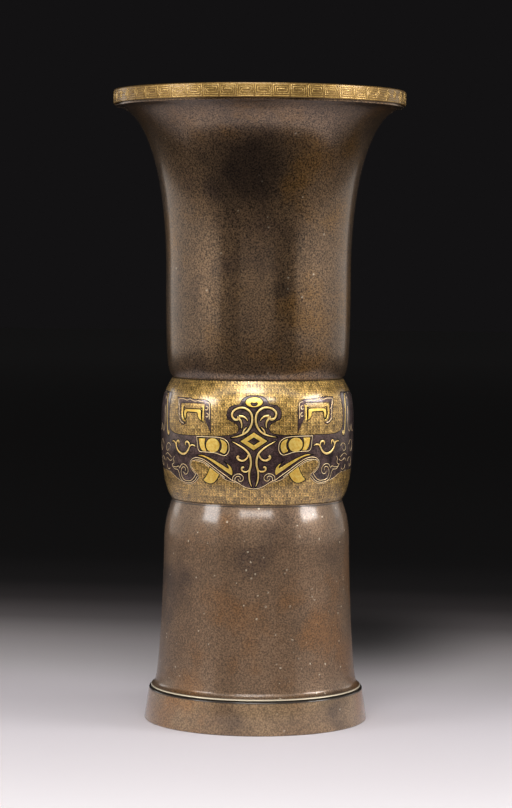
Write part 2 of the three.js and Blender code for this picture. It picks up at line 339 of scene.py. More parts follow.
# Painted light: far off, the paper is painted lighter than the room.
away = node(tree, "ShaderNodeVectorMath", {0: place}, operation="LENGTH")
away = node(
    tree, "ShaderNodeMapRange", {"Value": away.outputs["Value"], "From Min": 0.7, "From Max": 4}
)
sheet = node(
    tree, "ShaderNodeMix", {0: away, 6: sheet.outputs[2], 7: srgb(FAR_PAINTED_LIGHT)}, data_type="RGBA"
)
surface = tree.nodes["Principled BSDF"]
tree.links.new(sheet.outputs[2], surface.inputs["Base Color"])
surface.inputs["Roughness"].default_value = 0.8
surface.inputs["Specular IOR Level"].default_value = 0.1
floor.data.materials.append(paper)
print(f"{floor.name}: {len(PAINTED_LIGHT_BAND)} tones across the band of light")

# %% [markdown]
# ## Turned sections
# Every section of the body is a solid of revolution, so each is made as a turner would: its cut section
# is drawn once and spun round the axis. A mesh circle gives a closed ring of points, and moving those
# points onto the section is quicker than extruding it corner by corner.

# %% Drawing and spinning a section
TURN_STEPS = 180
SECTION_CREASE = math.radians(30)


def bezier(steps, a, b, c, d):
    """Points along a cubic Bezier curve of [radius, height] corners, both ends included."""
    points = []
    for i in range(steps + 1):
        t = i / steps
        weights = ((1 - t) ** 3, 3 * (1 - t) ** 2 * t, 3 * (1 - t) * t**2, t**3)
        points.append(tuple(sum(w * p[k] for w, p in zip(weights, (a, b, c, d))) for k in (0, 1)))
    return points


def turned(name, section, base):
    """Spins a closed section, in millimetres above a base height, into a solid ring."""
    bpy.ops.object.select_all(action="DESELECT")
    bpy.ops.mesh.primitive_circle_add(vertices=len(section))
    piece = bpy.context.object
    piece.name = name
    for vertex, (radius, height) in zip(piece.data.vertices, section):
        vertex.co = (radius * MM, 0, (base + height) * MM)
    bpy.ops.object.mode_set(mode="EDIT")
    bpy.ops.mesh.select_all(action="SELECT")
    bpy.ops.mesh.spin(steps=TURN_STEPS, angle=2 * math.pi, center=(0, 0, 0), axis=(0, 0, 1))
    bpy.ops.mesh.select_all(action="SELECT")
    bpy.ops.mesh.remove_doubles(threshold=0.001 * MM)
    bpy.ops.mesh.normals_make_consistent(inside=False)
    bpy.ops.object.mode_set(mode="OBJECT")
    bpy.ops.object.shade_smooth_by_angle(angle=SECTION_CREASE)
    return piece


def finished(piece, material, slot, *nodes):
    """Gives a piece its finish and its place on the vase, and lets it stand for the frame's solids."""
    piece.data.materials.clear()
    piece.data.materials.append(material)
    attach(piece, "root")
    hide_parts(*nodes)
    print(f"{piece.name}: {len(piece.data.polygons)} faces")


# %% [markdown]
# ## Patinated bronze
# The plain sections are cast bronze, filed smooth, stained brown by a chemical patina and waxed. The eye
# reads it as a dark metal under a thin clear skin: brown reflections from the metal, and white ones where
# the wax meets a lamp. A metallic Principled shader with a clear coat gives both. Noise at several scales
# gives cloudy patina, warm and smoked patches, grain, and pits with pale specks in them, painted as glints.
# Dark smears on the front, one a patch of patina and one painted shade, and thin rings of painted highlight
# and painted shade are placed one by one. The grain of a real casting is finer than the 0.65 mm used here,
# and it would not show in the render.

# %% Patinated bronze
PATCH_SIZE = 30
GRAIN_SIZE = 0.65
PIT_SPACING = 2.9
SMOKED_BROWN = "#2E2426"
# Dark of the smears: patina patches and painted shade.
SMEAR_AND_SHADE_DARK = "#171214"
# Pale specks in the pits, painted as glints.
PIT_GLINT_PAINT = "#D8CBB4"


def patinated_bronze(
    name,
    deep,
    pale,
    warm,
    roughness,
    pitting=0.5,
    lines=(),
    smears_and_painted_shade=(),
    cloud_mm=26,
    wax=1.0,
    metal=0.85,
    grit=0.45,
):
    """Waxed brown patina; pitting is the share of pits, and grit how strong the grain is.

    Each of lines is a thin ring of painted light, used for painted highlights and painted shade: its height,
    width, colour and strength. Each smear is a dark patch on the front, used for patina patches and for
    painted shade: its place across and up, its reach both ways and its strength.
    """
    material = bpy.data.materials.new(name)
    material.use_nodes = True
    tree = material.node_tree
    place = node(tree, "ShaderNodeTexCoord").outputs["Object"]

    clouds = node(
        tree,
        "ShaderNodeTexNoise",
        {"Vector": place, "Scale": pattern_scale(cloud_mm), "Detail": 6, "Roughness": 0.62},
    )
    shade = node(tree, "ShaderNodeMapRange", {"Value": clouds, "From Min": 0.36, "From Max": 0.64})
    colour = node(tree, "ShaderNodeMix", {0: shade, 6: srgb(deep), 7: srgb(pale)}, data_type="RGBA")
    patches = node(
        tree,
        "ShaderNodeTexNoise",
        {"Vector": place, "W": 4.0, "Scale": pattern_scale(PATCH_SIZE), "Detail": 4, "Roughness": 0.55},
        noise_dimensions="4D",
    )
    warmth = node(
        tree, "ShaderNodeMapRange", {"Value": patches, "From Min": 0.5, "From Max": 0.62, "To Max": 0.8}
    )
    colour = node(
        tree, "ShaderNodeMix", {0: warmth, 6: colour.outputs[2], 7: srgb(warm)}, data_type="RGBA"
    )
    smoked = node(
        tree, "ShaderNodeMapRange", {"Value": patches, "From Min": 0.44, "From Max": 0.3, "To Max": 0.6}
    )
    colour = node(
        tree,
        "ShaderNodeMix",
        {0: smoked, 6: colour.outputs[2], 7: srgb(SMOKED_BROWN)},
        data_type="RGBA",
    )

    grain = node(
        tree,
        "ShaderNodeTexNoise",
        {"Vector": place, "Scale": pattern_scale(GRAIN_SIZE), "Detail": 2, "Roughness": 0.5},
    )
    specks = node(tree, "ShaderNodeMapRange", {"Value": grain, "From Min": 0.34, "From Max": 0.66})
    dusted = node(
        tree, "ShaderNodeMapRange", {"Value": specks, "To Min": 1 - grit, "To Max": 1 + grit}
    )
    colour = node(
        tree, "ShaderNodeVectorMath", {0: colour.outputs[2], "Scale": dusted}, operation="SCALE"
    )

    cells = node(tree, "ShaderNodeTexVoronoi", {"Vector": place, "Scale": pattern_scale(PIT_SPACING)})
    opened = node(
        tree,
        "ShaderNodeMapRange",
        {"Value": cells.outputs["Distance"], "From Min": 0.1, "From Max": 0.2, "To Min": 1, "To Max": 0},
    )
    chosen = node(
        tree, "ShaderNodeMath", {0: cells.outputs["Color"], 1: 1 - 0.6 * pitting}, operation="GREATER_THAN"
    )
    pit = node(tree, "ShaderNodeMath", {0: opened, 1: chosen}, operation="MULTIPLY")
    # Painted glints: pale specks in the open pits.
    pit_glints = node(tree, "ShaderNodeMath", {0: pit, 1: specks}, operation="MULTIPLY")
    colour = node(tree, "ShaderNodeMix", {0: pit_glints, 6: colour, 7: srgb(PIT_GLINT_PAINT)}, data_type="RGBA")

    # Dark smears on the front, used for patina patches and for painted shade.
    for across, up, reach, strength in smears_and_painted_shade:
        patch = node(
            tree, "ShaderNodeVectorMath", {0: place, 1: (across * MM, 0, up * MM)}, operation="SUBTRACT"
        )
        squeezed = (1 / (reach[0] * MM), 0, 1 / (reach[1] * MM))
        patch = node(tree, "ShaderNodeVectorMath", {0: patch, 1: squeezed}, operation="MULTIPLY")
        patch = node(tree, "ShaderNodeVectorMath", {0: patch}, operation="LENGTH").outputs["Value"]
        ragged = node(tree, "ShaderNodeMath", {0: patches, 1: 1.6, 2: patch}, operation="MULTIPLY_ADD")
        smear_share = node(
            tree,
            "ShaderNodeMapRange",
            {"Value": ragged, "From Min": 1.0, "From Max": 1.9, "To Min": strength, "To Max": 0},
            interpolation_type="SMOOTHSTEP",
        )
        ahead = node(tree, "ShaderNodeSeparateXYZ", {0: place}).outputs["Y"]
        ahead = node(tree, "ShaderNodeMath", {0: ahead, 1: 0.0}, operation="LESS_THAN")
        smear_share = node(tree, "ShaderNodeMath", {0: smear_share, 1: ahead}, operation="MULTIPLY")
        colour = node(
            tree, "ShaderNodeMix", {0: smear_share, 6: colour.outputs[2], 7: srgb(SMEAR_AND_SHADE_DARK)}, data_type="RGBA"
        )

    height = node(tree, "ShaderNodeSeparateXYZ", {0: place}).outputs["Z"]
    # Rings of painted highlight and painted shade.
    for middle, reach, ring_colour, strength in lines:
        gap = node(tree, "ShaderNodeMath", {0: height, 1: middle * MM}, operation="SUBTRACT")
        gap = node(tree, "ShaderNodeMath", {0: gap}, operation="ABSOLUTE")
        ring_share = node(
            tree,
            "ShaderNodeMapRange",
            {
                "Value": gap,
                "From Min": 0.5 * reach * MM,
                "From Max": reach * MM,
                "To Min": strength,
                "To Max": 0,
            },
        )
        colour = node(
            tree, "ShaderNodeMix", {0: ring_share, 6: colour.outputs[2], 7: srgb(ring_colour)}, data_type="RGBA"
        )

    gloss = node(
        tree,
        "ShaderNodeMapRange",
        {
            "Value": clouds,
            "From Min": 0.3,
            "From Max": 0.7,
            "To Min": roughness + 0.08,
            "To Max": roughness - 0.05,
        },
    )
    pitted = node(tree, "ShaderNodeMath", {0: grain, 1: pit}, operation="SUBTRACT")
    bump = node(tree, "ShaderNodeBump", {"Height": pitted, "Strength": 0.25, "Distance": 0.06 * MM})
    shader = tree.nodes["Principled BSDF"]
    tree.links.new(colour.outputs[2], shader.inputs["Base Color"])
    tree.links.new(gloss.outputs[0], shader.inputs["Roughness"])
    tree.links.new(bump.outputs[0], shader.inputs["Normal"])
    shader.inputs["Metallic"].default_value = metal
    shader.inputs["Coat Weight"].default_value = wax
    shader.inputs["Coat Roughness"].default_value = 0.16
    print(f"{name}: roughness {roughness}, clouds {cloud_mm} mm across")
    return material


# Ring colours: painted shade for seams and grooves, and a painted highlight for edges.
PAINTED_SEAM_SHADE = "#1C1614"
PAINTED_EDGE_HIGHLIGHT = "#E6DAC0"
trumpet_bronze = patinated_bronze(
    "warm brown patinated bronze",
    "#644F3B",
    "#796149",
    "#7B5A30",
    roughness=0.33,
    pitting=0.3,
    # The first smear is painted shade, the dark reflection of the unlit floor in the flare; the second is a
    # dark patch of patina.
    smears_and_painted_shade=[(-1, 239, (24, 21), 0.6), (11.5, 189, (6, 6), 0.45)],
    grit=0.75,
)
body_bronze = patinated_bronze(
    "grey brown patinated bronze",
    "#69533F",
    "#7C634D",
    "#7B5735",
    roughness=0.46,
    # A pale line of painted highlight along the flange's edge, and a dark ring of painted shade just under
    # the waist.
    lines=[(BODY_BASE + 0.3, 0.45, PAINTED_EDGE_HIGHLIGHT, 0.9), (WAIST_BASE - 0.9, 0.4, PAINTED_SEAM_SHADE, 0.8)],
    metal=0.6,
    wax=0.85,
)
foot_bronze = patinated_bronze(
    "worn brown patinated bronze",
    "#846A4F",
    "#977D5E",
    "#936940",
    roughness=0.42,
    pitting=0.35,
    # A dark ring of painted shade along the seam at the ring's top.
    lines=[(FOOT_HEIGHT - 0.2, 0.8, PAINTED_SEAM_SHADE, 0.95)],
    metal=0.6,
)
inner_bronze = patinated_bronze(
    "dark unpolished bronze", "#3A2E25", "#4A3C31", "#4A3620", roughness=0.55
)


# %% [markdown]
# ## Foot ring
# The foot ring is a heavy cast ring that carries the vase. Its outside slopes in a little from a crisp foot
# to a rounded top, and the lower body stands in its bore. A dark ring of painted shade runs along the seam
# between the two, on the ring's top.

# %% Foot ring
def foot_ring():
    top_radius = FOOT_RADIUS - 1.9
    bore = TENON_RADIUS + FIT
    section = [
        (bore, 0),
        *bezier(4, (FOOT_RADIUS - 0.6, 0), (FOOT_RADIUS - 0.2, 0), (FOOT_RADIUS, 0.2), (FOOT_RADIUS, 0.6)),
        *bezier(
            8,
            (top_radius, FOOT_HEIGHT - 0.8),
            (top_radius, FOOT_HEIGHT - 0.35),
            (top_radius - 0.35, FOOT_HEIGHT),
            (top_radius - 0.8, FOOT_HEIGHT),
        ),
        (bore + 0.2, FOOT_HEIGHT),
        (bore, FOOT_HEIGHT - 0.2),
    ]
    return turned("turned_foot_ring", section, 0)


finished(foot_ring(), foot_bronze, "foot_bronze", "foot_ring")


# %% [markdown]
# ## Lower body
# The lower body is a hollow casting that spreads towards the foot. A tenon under it enters the ring, and a
# thin flange lies on the ring's top; a pale line along the flange's edge is a painted highlight. At the top
# a round shoulder draws in to the spigot that the waist sits on, and just under the waist runs a dark ring
# of painted shade. Three curves give the outside, and one gives the hollow.

# %% Lower body
def lower_body():
    shoulder = BODY_HEIGHT * 0.78
    inner_radius = BODY_RADIUS - WALL
    section = [
        (TENON_BORE, -TENON),
        (TENON_RADIUS, -TENON),
        (TENON_RADIUS, 0),
        (FLANGE_RADIUS - 0.1, 0),
        (FLANGE_RADIUS, 0.1),
        (FLANGE_RADIUS - 0.1, 0.5),
        *bezier(
            6,
            (FLANGE_RADIUS - 0.35, 0.7),
            (FLANGE_RADIUS - 1.4, 1.4),
            (BODY_FOOT_RADIUS + 0.1, 2.1),
            (BODY_FOOT_RADIUS - 0.1, 2.8),
        ),
        *bezier(
            20,
            (BODY_FOOT_RADIUS - 0.2, 3.5),
            (BODY_FOOT_RADIUS - 1.5, BODY_HEIGHT * 0.1),
            (BODY_RADIUS + 0.1, BODY_HEIGHT * 0.53),
            (BODY_RADIUS, shoulder),
        ),
        *bezier(
            16,
            (BODY_RADIUS, shoulder),
            (BODY_RADIUS - 0.2, BODY_HEIGHT * 0.915),
            (JOINT_RADIUS + 0.8, BODY_HEIGHT - 4),
            (JOINT_RADIUS, BODY_HEIGHT),
        )[1:],
        (SPIGOT_RADIUS, BODY_HEIGHT),
        (SPIGOT_RADIUS, BODY_HEIGHT + SPIGOT),
        (SPIGOT_BORE, BODY_HEIGHT + SPIGOT),
        *bezier(
            10,
            (SPIGOT_BORE, BODY_HEIGHT - WALL),
            (SPIGOT_BORE + 2, BODY_HEIGHT - 2 * WALL),
            (inner_radius, BODY_HEIGHT - 2.5 * WALL),
            (inner_radius, BODY_HEIGHT - 6 * WALL),
        ),
        (TENON_BORE, 0),
    ]
    return turned("turned_lower_body", section, BODY_BASE)


finished(lower_body(), body_bronze, "body_bronze", "lower_body")


# %% [markdown]
# ## Trumpet
# The trumpet is the tall upper section: a round shoulder over the waist, a nearly straight stretch, and a
# flare that ends in a thin upright flange with a rebate for the gold band. A few long curves are used
# rather than many points, because a polished surface shows every kink in its reflections.

# %% Trumpet
def trumpet():
    height = TRUMPET_HEIGHT
    flare_foot = height * 0.366
    flange_foot = height - LIP_FLANGE
    ledge = flange_foot + LIP_LEDGE
    rebate = LIP_RADIUS - LIP_GOLD - FIT
    inner_radius = TRUMPET_RADIUS - WALL
    section = [
        (SPIGOT_BORE, -SPIGOT),
        (SPIGOT_RADIUS, -SPIGOT),
        (SPIGOT_RADIUS, 0),
        *bezier(
            16,
            (JOINT_RADIUS, 0),
            (JOINT_RADIUS + 2.4, 2),
            (TRUMPET_RADIUS - 0.1, height * 0.077),
            (TRUMPET_RADIUS, height * 0.289),
        ),
        *bezier(
            32,
            (TRUMPET_RADIUS, flare_foot),
            (TRUMPET_RADIUS, height * 0.686),
            (LIP_RADIUS - 14.9, flange_foot - 1.4),
            (LIP_RADIUS - 1.2, flange_foot),
        ),
        (LIP_RADIUS - 0.95, flange_foot + 0.15),
        (LIP_RADIUS - 0.9, ledge - 0.1),
        (LIP_RADIUS - 1, ledge),
        (rebate, ledge),
        *bezier(
            4,
            (rebate, height - 0.5),
            (rebate, height - 0.2),
            (rebate - 0.2, height),
            (rebate - 0.5, height),
        ),
        *bezier(
            24,
            (rebate - 3.8, height),
            (TRUMPET_RADIUS + 3.7, height * 0.88),
            (inner_radius, height * 0.69),
            (inner_radius, flare_foot),
        ),
        *bezier(
            8,
            (inner_radius, 5 * WALL),
            (inner_radius, 4 * WALL),
            (SPIGOT_BORE, 3 * WALL),
            (SPIGOT_BORE, 2 * WALL),
        ),
    ]
    return turned("turned_trumpet", section, TRUMPET_BASE)


finished(trumpet(), trumpet_bronze, "trumpet_bronze", "trumpet")


# %% [markdown]
# ## Gold and its ground
# Two kinds of gold show. The masks' eyes, jaws and scrolls are sheet and wire, burnished bright. The
# field round them is covered by rows of tiny square spirals, the thunder pattern, in hair-thin wire, so
# from a step away it reads as tarnished gold cloth. The spirals are far too many to model one by one, so
# the field's material draws them: the angle round the axis and the height give a flat sheet of squares,
# and in each square the distance from its middle, shifted a quarter turn by turn, makes the spiral. The
# squares are 1.6 mm wide, larger than the real ones, because finer ones would not show in the render.

# %% Burnished gold
RUBBING_SIZE = 1.2


def burnished_gold(name, deep, pale, roughness):
    """Inlaid gold: a smooth bright metal with faint rubbing marks and a darker tarnish in places."""
    material = bpy.data.materials.new(name)
    material.use_nodes = True
    tree = material.node_tree
    place = node(tree, "ShaderNodeTexCoord").outputs["Object"]
    rubbing = node(
        tree,
        "ShaderNodeTexNoise",
        {"Vector": place, "Scale": pattern_scale(RUBBING_SIZE), "Detail": 3, "Roughness": 0.65},
    )
    tarnish = node(tree, "ShaderNodeMapRange", {"Value": rubbing, "From Min": 0.32, "From Max": 0.62})
    colour = node(tree, "ShaderNodeMix", {0: tarnish, 6: srgb(deep), 7: srgb(pale)}, data_type="RGBA")
    gloss = node(
        tree,
        "ShaderNodeMapRange",
        {"Value": rubbing, "To Min": roughness - 0.06, "To Max": roughness + 0.1},
    )
    shader = tree.nodes["Principled BSDF"]
    tree.links.new(colour.outputs[2], shader.inputs["Base Color"])
    tree.links.new(gloss.outputs[0], shader.inputs["Roughness"])
    shader.inputs["Metallic"].default_value = 0.8
    shader.inputs["Coat Weight"].default_value = 0.4
    shader.inputs["Coat Roughness"].default_value = 0.15
    print(f"{name}: roughness {roughness}")
    return material


# %% Thunder-pattern field
FRET_UNIT = 1.6
FRET_TURNS = 2
WEAR_SIZE = 4
FIELD_GRAIN = 0.6


def thunder_pattern(name, radius, deep, pale, line_colour):
    """Gold under a fine square-spiral fret, drawn on the angle round the axis and the height."""
    material = bpy.data.materials.new(name)
    material.use_nodes = True
    tree = material.node_tree
    place = node(tree, "ShaderNodeTexCoord").outputs["Object"]
    split = node(tree, "ShaderNodeSeparateXYZ", {0: place})
    back = node(tree, "ShaderNodeMath", {0: split.outputs["Y"], 1: -1.0}, operation="MULTIPLY")
    angle = node(tree, "ShaderNodeMath", {0: split.outputs["X"], 1: back}, operation="ARCTAN2")
    columns = round(2 * math.pi * radius / FRET_UNIT)
    across = node(tree, "ShaderNodeMath", {0: angle, 1: columns / (2 * math.pi)}, operation="MULTIPLY")
    up = node(
        tree, "ShaderNodeMath", {0: split.outputs["Z"], 1: pattern_scale(FRET_UNIT)}, operation="MULTIPLY"
    )
    sheet = node(tree, "ShaderNodeCombineXYZ", {0: across, 1: up})

    inside = node(tree, "ShaderNodeVectorMath", {0: sheet}, operation="FRACTION")
    inside = node(tree, "ShaderNodeVectorMath", {0: inside, 1: (0.5, 0.5, 0)}, operation="SUBTRACT")
    reach = node(tree, "ShaderNodeVectorMath", {0: inside}, operation="ABSOLUTE")
    reach = node(tree, "ShaderNodeSeparateXYZ", {0: reach})
    inside = node(tree, "ShaderNodeSeparateXYZ", {0: inside})
    ring = node(tree, "ShaderNodeMath", {0: reach.outputs[0], 1: reach.outputs[1]}, operation="MAXIMUM")
    upright = node(
        tree, "ShaderNodeMath", {0: reach.outputs[1], 1: reach.outputs[0]}, operation="GREATER_THAN"
    )
    total = node(tree, "ShaderNodeMath", {0: inside.outputs[0], 1: inside.outputs[1]}, operation="ADD")
    beyond = node(tree, "ShaderNodeMath", {0: total, 1: 0.0}, operation="GREATER_THAN")
    half = node(tree, "ShaderNodeMath", {0: beyond, 1: 0.5}, operation="MULTIPLY")
    quarter = node(
        tree, "ShaderNodeMath", {0: upright, 1: 0.25, 2: half}, operation="MULTIPLY_ADD"
    )
    coil = node(
        tree, "ShaderNodeMath", {0: ring, 1: FRET_TURNS, 2: quarter}, operation="MULTIPLY_ADD"
    )
    coil = node(tree, "ShaderNodeMath", {0: coil}, operation="FRACT")
    line = node(
        tree,
        "ShaderNodeMapRange",
        {"Value": coil, "From Min": 0.36, "From Max": 0.48, "To Min": 1, "To Max": 0},
    )

    cell = node(tree, "ShaderNodeVectorMath", {0: sheet}, operation="FLOOR")
    luck = node(tree, "ShaderNodeTexWhiteNoise", {"Vector": cell}, noise_dimensions="3D")
    wear = node(
        tree,
        "ShaderNodeTexNoise",
        {"Vector": place, "Scale": pattern_scale(WEAR_SIZE), "Detail": 8, "Roughness": 0.75},
    )
    worn = node(tree, "ShaderNodeMapRange", {"Value": wear, "From Min": 0.36, "From Max": 0.62})
    gold = node(tree, "ShaderNodeMix", {0: worn, 6: srgb(deep), 7: srgb(pale)}, data_type="RGBA")
    bright = node(
        tree, "ShaderNodeMapRange", {"Value": luck.outputs["Value"], "To Min": 0.65, "To Max": 1.35}
    )
    grain = node(
        tree,
        "ShaderNodeTexNoise",
        {"Vector": place, "Scale": pattern_scale(FIELD_GRAIN), "Detail": 1, "Roughness": 0.5},
    )
    grain = node(
        tree,
        "ShaderNodeMapRange",
        {"Value": grain, "From Min": 0.34, "From Max": 0.66, "To Min": 0.55, "To Max": 1.45},
    )
    bright = node(tree, "ShaderNodeMath", {0: bright, 1: grain}, operation="MULTIPLY")
    gold = node(
        tree, "ShaderNodeVectorMath", {0: gold.outputs[2], "Scale": bright}, operation="SCALE"
    )
    depth = node(
        tree,
        "ShaderNodeMapRange",
        {"Value": wear, "From Min": 0.35, "From Max": 0.68, "To Min": 1, "To Max": 0.5},
    )
    drawn = node(tree, "ShaderNodeMath", {0: line, 1: depth}, operation="MULTIPLY")
    colour = node(
        tree, "ShaderNodeMix", {0: drawn, 6: gold, 7: srgb(line_colour)}, data_type="RGBA"
    )
    gloss = node(tree, "ShaderNodeMapRange", {"Value": wear, "To Min": 0.32, "To Max": 0.56})
    bump = node(
        tree, "ShaderNodeBump", {"Height": line, "Strength": 0.35, "Distance": 0.06 * MM}, invert=True
    )
    shader = tree.nodes["Principled BSDF"]
    tree.links.new(colour.outputs[2], shader.inputs["Base Color"])
    tree.links.new(gloss.outputs[0], shader.inputs["Roughness"])
    tree.links.new(bump.outputs[0], shader.inputs["Normal"])
    shader.inputs["Metallic"].default_value = 0.9
    shader.inputs["Coat Weight"].default_value = 1
    shader.inputs["Coat Roughness"].default_value = 0.2
    shader.inputs["Coat IOR"].default_value = 1.65
    print(f"{name}: {columns} spirals round the waist")
    return material


# %% [markdown]
# The golds differ in tone, and part of it is painted light. Plates are the deepest yellow. Wires are painted
# a little paler and the hair wires palest, as a painted highlight, since so thin a wire shows mostly its
# bright ridge. The lip's gold has tarnished, and its fret is a little brighter than the band under it, which
# carries painted shade. Between the inlays lie two bronzes: the mask's purple brown ground, and the black of
# the cut line round each inlay.

# %% Golds and the mask's ground
inlaid_gold = burnished_gold("burnished inlaid gold", "#F0BC48", "#FFE07C", 0.42)
field_gold = thunder_pattern("gold thunder-pattern field", WAIST_RADIUS, "#B8934C", "#E2B86C", "#130D07")
lip_gold = burnished_gold("tarnished sheet gold", "#9E7B3E", "#BE9C5A", 0.34)
# The band under the lip's fret is a darker copy of its gold: painted shade.
lip_ground = burnished_gold("shadowed sheet gold", "#70572C", "#88693A", 0.4)
# Wires and hair wires are paler copies of the inlaid gold: a painted highlight on their bright ridges.
wire_gold = burnished_gold("pale inlaid wire gold", "#F2C46C", "#FFE39C", 0.42)
hair_gold = burnished_gold("pale hair wire gold", "#FFD69A", "#FFE8BE", 0.4)
mask_bronze = patinated_bronze(
    "purple brown mask ground",
    "#2E2226",
    "#76605C",
    "#50393A",
    roughness=0.42,
    pitting=0.15,
    cloud_mm=4,
)
# The same black also draws the painted shadow round each horn.
black_bronze = patinated_bronze(
    "black cut line and painted shadow", "#0C0806", "#120D0A", "#120B07", roughness=0.5, pitting=0, wax=0.15
)

# %% [markdown]
# ## Waist band
# The waist is the one bulging section. Its face is kept as a list of radius and height, because every
# inlay below is bent onto that same curve. The mask is drawn on squared paper, 53 squares to the height of
# the band, so a square is the unit of the face and of all drawings on it.

# %% Waist band
SQUARES_HIGH = 53
SQUARE = WAIST_HEIGHT / SQUARES_HIGH

waist_face = [
    *bezier(
        20,
        (JOINT_RADIUS, 0),
        (JOINT_RADIUS + 3.1, 4 * SQUARE),
        (WAIST_RADIUS - 0.9, 11.6 * SQUARE),
        (WAIST_RADIUS - 0.1, 21.3 * SQUARE),
    ),
    *bezier(
        20,
        (WAIST_RADIUS, 35.1 * SQUARE),
        (WAIST_RADIUS, 46 * SQUARE),
        (JOINT_RADIUS + 2.4, 48.6 * SQUARE),
        (JOINT_RADIUS, WAIST_HEIGHT),
    ),
]


def waist_band():
    socket = SPIGOT_RADIUS + FIT
    ledge_radius = socket - 1.8
    floor_top = SPIGOT + FLOOR_PLATE + FIT
    bore = WAIST_RADIUS - 1.6 * WALL
    section = [
        *waist_face,
        (socket, WAIST_HEIGHT),
        (socket, WAIST_HEIGHT - SPIGOT - FIT),
        (bore, WAIST_HEIGHT - SPIGOT - WALL),
        (bore, floor_top + 2 * WALL),
        (ledge_radius, floor_top + WALL),
        (ledge_radius, floor_top),
        (socket, floor_top),
        (socket, 0),
    ]
    return turned("turned_waist_band", section, WAIST_BASE)


finished(waist_band(), field_gold, "gilded_bronze", "waist_band")

# %% [markdown]
# ## Drawing flat, then bending round the waist
# An inlayer works from a paper drawing wrapped round the vase. The same is done here: each wire and plate
# is drawn flat, in squares across from the mask's middle and up from the band's foot, and then its points
# are moved onto the curve of the waist. A wire is a curve with a round bevel whose radius changes from knot
# to knot, flattened as if burnished down. A plate is a filled outline, cut into narrow strips first so that
# it can bend. The drawing was not wrapped quite straight: the right half of each mask stands a little
# higher than the left.

# %% Wires and plates
WIRE_FLATTENING = 0.3
WIRE_LIFT = 0.08
PLATE_RISE = 0.1
PLATE_EDGE = 0.08
PLATE_STRIP = 1.6
MASK_TILT = 0.4
QUARTER = math.pi / 2 * WAIST_RADIUS / SQUARE


def face_at(up):
    """Radius of the waist's face at a height, and the unit normal there as [outward, upward]."""
    for (r0, z0), (r1, z1) in zip(waist_face, waist_face[1:]):
        if up <= z1:
            break
    share = (up - z0) / (z1 - z0)
    slope = Vector((z1 - z0, r0 - r1)).normalized()
    return r0 + (r1 - r0) * share, slope


def bent_round_waist(piece, turn=0.0):
    """Moves a flat drawing's points onto the waist, with the mask's middle at a turn round the axis."""
    for vertex in piece.data.vertices:
        across, up, rise = vertex.co / MM
        up = (up + MASK_TILT * math.sin(math.pi * across / QUARTER)) * SQUARE
        radius, normal = face_at(up)
        angle = across * SQUARE / WAIST_RADIUS + turn
        reach = radius + rise * normal[0]
        height = WAIST_BASE + up + rise * normal[1]
        vertex.co = (reach * math.sin(angle) * MM, -reach * math.cos(angle) * MM, height * MM)


def cleaned(piece):
    """Merges a converted mesh's seams and points its faces outwards."""
    bpy.ops.object.mode_set(mode="EDIT")
    bpy.ops.mesh.select_all(action="SELECT")
    bpy.ops.mesh.remove_doubles(threshold=0.002 * MM)
    bpy.ops.mesh.normals_make_consistent(inside=False)
    bpy.ops.object.mode_set(mode="OBJECT")
    return piece


def flat_wire(knots, sign=1, handles="AUTO", lift=WIRE_LIFT, grow=0.0, flattening=WIRE_FLATTENING):
    """A tapering wire through knots of (across, up, half width), lying flat."""
    bpy.ops.object.select_all(action="DESELECT")
    bpy.ops.curve.primitive_bezier_curve_add()
    curve = bpy.context.object
    spline = curve.data.splines[0]
    spline.bezier_points.add(len(knots) - 2)
    for point, (across, up, half) in zip(spline.bezier_points, knots):
        point.co = (sign * across * MM, up * MM, 0)
        point.handle_left_type = handles
        point.handle_right_type = handles
        point.radius = half + grow
    curve.data.resolution_u = 5
    curve.data.bevel_depth = MM
    curve.data.bevel_resolution = 2
    curve.data.use_fill_caps = True
    bpy.ops.object.convert(target="MESH")
    piece = bpy.context.object
    for vertex in piece.data.vertices:
        vertex.co.z = vertex.co.z * flattening + lift * MM
    return cleaned(piece)


def flat_line(points, half_width, sign=1, lift=WIRE_LIFT, flattening=WIRE_FLATTENING):
    """A thin even wire along points of (across, up), lying flat."""
    bpy.ops.object.select_all(action="DESELECT")
    bpy.ops.curve.primitive_bezier_curve_add()
    curve = bpy.context.object
    curve.data.splines.clear()
    spline = curve.data.splines.new("POLY")
    spline.points.add(len(points) - 1)
    for point, (across, up) in zip(spline.points, points):
        point.co = (sign * across * MM, up * MM, 0, 1)
    curve.data.bevel_depth = half_width * MM
    curve.data.bevel_resolution = 1
    curve.data.use_fill_caps = True
    bpy.ops.object.convert(target="MESH")
    piece = bpy.context.object
    for vertex in piece.data.vertices:
        vertex.co.z = vertex.co.z * flattening + lift * MM
    return cleaned(piece)


